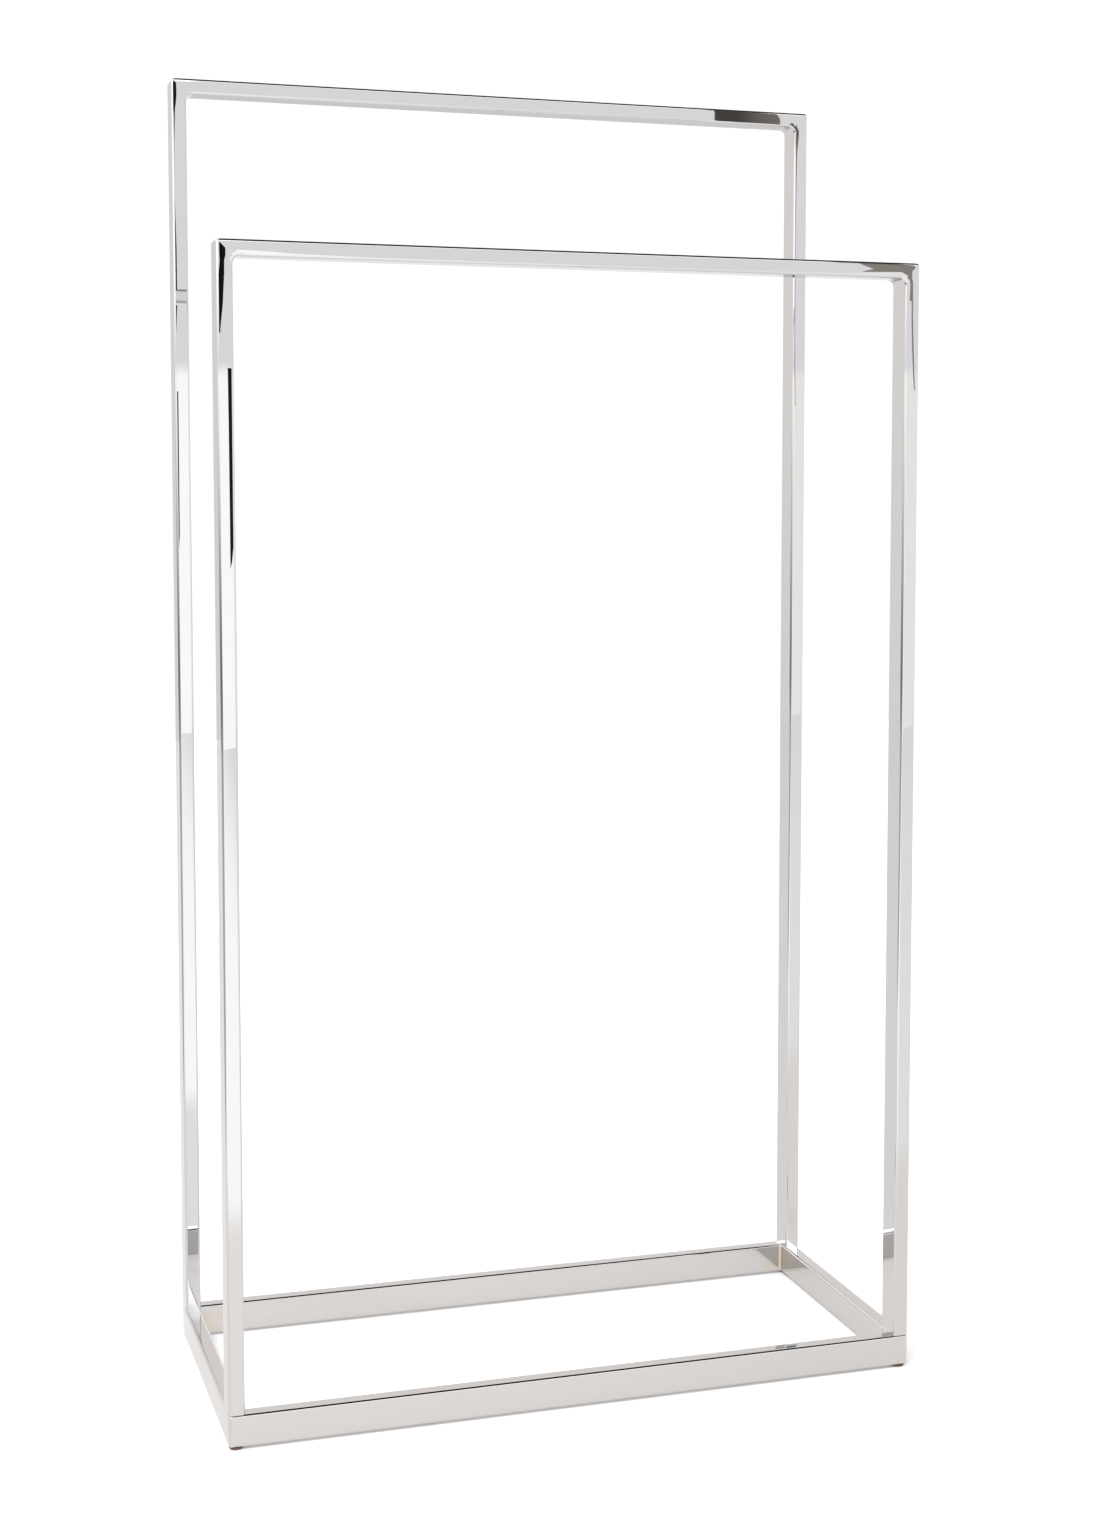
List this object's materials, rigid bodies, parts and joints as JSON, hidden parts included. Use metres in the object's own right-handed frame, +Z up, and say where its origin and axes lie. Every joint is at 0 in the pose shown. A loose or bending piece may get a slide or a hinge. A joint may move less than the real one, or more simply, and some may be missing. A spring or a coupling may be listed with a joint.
{
  "type": "valet stand",
  "caption": "Free-standing chrome valet stand: a low and a tall open frame of flat tube, one behind the other, on a rectangular base, for clothes or towels.",
  "frame": {"origin": "on the floor, at the centre of the footprint", "axes": "+Z up; +X to the right for someone facing the stand's low frame; the low frame is at -Y and the tall frame at +Y"},
  "size_m": [0.45, 0.21, 0.85],
  "materials": {
    "chrome_tube": "bright chrome plate on ground and polished steel tube",
    "plug_steel": "plain machined steel",
    "zinc_steel": "bright zinc plate",
    "foot_rubber": "matt brown moulded rubber"
  },
  "bodies": {
    "root": {"base_front_rail": "chrome_tube", "base_rear_rail": "chrome_tube", "base_left_rail": "chrome_tube", "base_right_rail": "chrome_tube", "front_top_rail": "chrome_tube", "front_left_post": "chrome_tube", "front_right_post": "chrome_tube", "rear_top_rail": "chrome_tube", "rear_left_post": "chrome_tube", "rear_right_post": "chrome_tube", "front_left_threaded_plug": "plug_steel", "front_left_screw": "zinc_steel", "front_left_spring_washer": "zinc_steel", "front_left_foot": "foot_rubber", "front_right_threaded_plug": "plug_steel", "front_right_screw": "zinc_steel", "front_right_spring_washer": "zinc_steel", "front_right_foot": "foot_rubber", "rear_left_threaded_plug": "plug_steel", "rear_left_screw": "zinc_steel", "rear_left_spring_washer": "zinc_steel", "rear_left_foot": "foot_rubber", "rear_right_threaded_plug": "plug_steel", "rear_right_screw": "zinc_steel", "rear_right_spring_washer": "zinc_steel", "rear_right_foot": "foot_rubber"}
  },
  "joints": []
}
